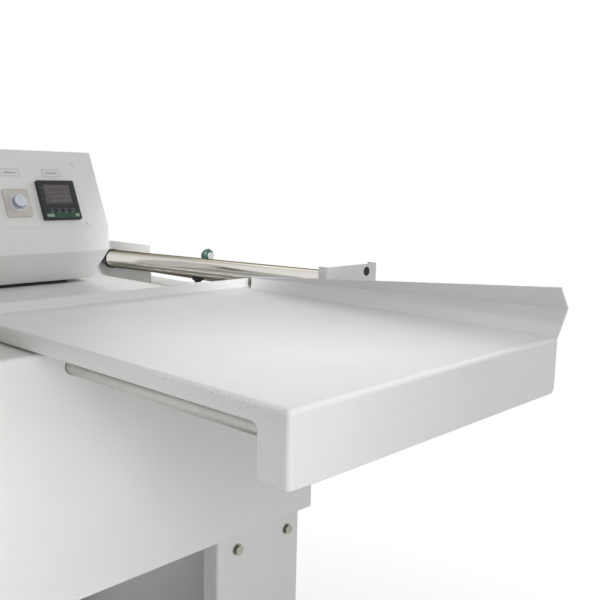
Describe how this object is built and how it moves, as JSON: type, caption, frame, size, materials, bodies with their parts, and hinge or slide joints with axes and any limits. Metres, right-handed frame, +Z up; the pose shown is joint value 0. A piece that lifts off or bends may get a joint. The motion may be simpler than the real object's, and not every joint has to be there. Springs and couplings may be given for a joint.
{
  "type": "l bar sealer",
  "caption": "Floor-standing film sealer with a hinged L-shaped sealing arm, sliding folded product tray, sloped control box and a film roller deck at the infeed end.",
  "frame": {"origin": "on the floor, under the middle of the machine's bounding box", "axes": "+X to the film infeed end (the operator's right), +Y from the operator's side to the rear, +Z up"},
  "size_m": [1.28, 1.0578, 1.1152],
  "materials": {
    "white_paint": "fine-grain powder coat",
    "zinc_steel": "zinc plated",
    "chrome": "ground and chrome plated",
    "aluminium": "satin anodised",
    "brass": "turned",
    "panel_film": "matt panel film",
    "black_plastic": "fine texture",
    "dial_grey": "satin",
    "display_glass": "smoked window",
    "switch_green": "gloss",
    "lamp_red": "gloss",
    "wheel_green": "moulded",
    "key_grey": "satin",
    "black_rubber": "matt",
    "silicone_red": "matt silicone"
  },
  "bodies": {
    "machine_base": {"table_cover": "white_paint", "end_panels": "white_paint", "pedestal_left": "white_paint", "pedestal_right": "white_paint", "pedestal_bolts": "zinc_steel", "corner_cleats": "white_paint", "foot_plates": "white_paint", "levelling_feet": "zinc_steel", "lower_shelf": "white_paint", "rod_bushes": "brass", "rod_carrier": "white_paint", "control_box": "white_paint", "box_base_strip": "black_rubber", "control_panel": "panel_film", "panel_screws": "white_paint", "temperature_controller": "black_plastic", "controller_display": "display_glass", "timer_body": "panel_film", "timer_dial": "dial_grey", "power_switch": "black_plastic", "pilot_lamp": "lamp_red", "mains_inlet": "black_plastic", "transformer": "zinc_steel", "film_deck": "white_paint", "deck_bolts": "zinc_steel", "front_bracket": "white_paint", "bracket_plug": "black_rubber", "rear_bracket": "white_paint", "roller_guard": "white_paint", "roller_axles": "zinc_steel", "roller_collars": "black_plastic", "perforator_bar": "zinc_steel", "lower_jaws": "aluminium", "seal_pads": "silicone_red", "bearing_blocks": "zinc_steel", "electromagnet": "zinc_steel", "product_bed": "white_paint"},
    "tray": {"tray_plate": "white_paint", "tray_rods": "chrome", "tray_saddles": "zinc_steel"},
    "seal_arm": {"arm_front_beam": "aluminium", "arm_side_beam": "aluminium", "seal_blades": "brass", "hinge_cheeks": "zinc_steel", "hinge_shaft": "zinc_steel", "counterweight": "zinc_steel", "arm_handle": "black_plastic", "armature": "zinc_steel"},
    "guide_roller": {"guide_roller": "chrome"},
    "idler_roller": {"idler_roller": "chrome"},
    "perforator": {"perforator_block": "aluminium"},
    "pin_wheel": {"pin_wheel": "wheel_green"},
    "clamp_knob": {"clamp_knob": "black_plastic"},
    "timer_knob": {"timer_knob": "black_plastic"},
    "switch_rocker": {"switch_rocker": "switch_green"},
    "controller_key_1": {"controller_key_1": "key_grey"},
    "controller_key_2": {"controller_key_2": "key_grey"},
    "controller_key_3": {"controller_key_3": "key_grey"},
    "controller_key_4": {"controller_key_4": "key_grey"}
  },
  "joints": [
    {"name": "tray_slide", "type": "slide", "parent": "machine_base", "child": "tray", "axis": [0, 1, 0], "range_m": [-0.1, 0.15]},
    {"name": "arm_hinge", "type": "hinge", "parent": "machine_base", "child": "seal_arm", "pos_m": [-0.08, 0.36405, 0.995], "axis": [-1, 0, 0], "range_deg": [0, 50]},
    {"name": "guide_roller_spin", "type": "hinge", "parent": "machine_base", "child": "guide_roller", "pos_m": [0.51, -0.13595, 0.9192], "axis": [0, 0.9998, -0.0213], "continuous": true},
    {"name": "idler_roller_spin", "type": "hinge", "parent": "machine_base", "child": "idler_roller", "pos_m": [0.585, -0.13595, 0.89], "axis": [0, 1, 0], "continuous": true},
    {"name": "perforator_slide", "type": "slide", "parent": "machine_base", "child": "perforator", "axis": [0, 1, 0], "range_m": [-0.25, 0.1]},
    {"name": "pin_wheel_spin", "type": "hinge", "parent": "perforator", "child": "pin_wheel", "pos_m": [0.541, 0.20575, 0.932], "axis": [0, 1, 0], "continuous": true},
    {"name": "clamp_knob_turn", "type": "hinge", "parent": "perforator", "child": "clamp_knob", "pos_m": [0.541, 0.22705, 0.893], "axis": [-1, 0, 0], "range_deg": [-180, 180]},
    {"name": "timer_knob_turn", "type": "hinge", "parent": "machine_base", "child": "timer_knob", "pos_m": [0.2325, 0.33423, 1.02507], "axis": [0, -0.9107, 0.4131], "range_deg": [-150, 150]},
    {"name": "switch_rocker_tip", "type": "hinge", "parent": "machine_base", "child": "switch_rocker", "pos_m": [0.099, 0.33075, 1.02225], "axis": [1, 0, 0], "range_deg": [-16, 0]},
    {"name": "controller_key_1_press", "type": "slide", "parent": "machine_base", "child": "controller_key_1", "axis": [0, 0.9107, -0.4131], "range_m": [0, 0.0006], "stiffness_N_per_m": 800},
    {"name": "controller_key_2_press", "type": "slide", "parent": "machine_base", "child": "controller_key_2", "axis": [0, 0.9107, -0.4131], "range_m": [0, 0.0006], "stiffness_N_per_m": 800},
    {"name": "controller_key_3_press", "type": "slide", "parent": "machine_base", "child": "controller_key_3", "axis": [0, 0.9107, -0.4131], "range_m": [0, 0.0006], "stiffness_N_per_m": 800},
    {"name": "controller_key_4_press", "type": "slide", "parent": "machine_base", "child": "controller_key_4", "axis": [0, 0.9107, -0.4131], "range_m": [0, 0.0006], "stiffness_N_per_m": 800}
  ]
}
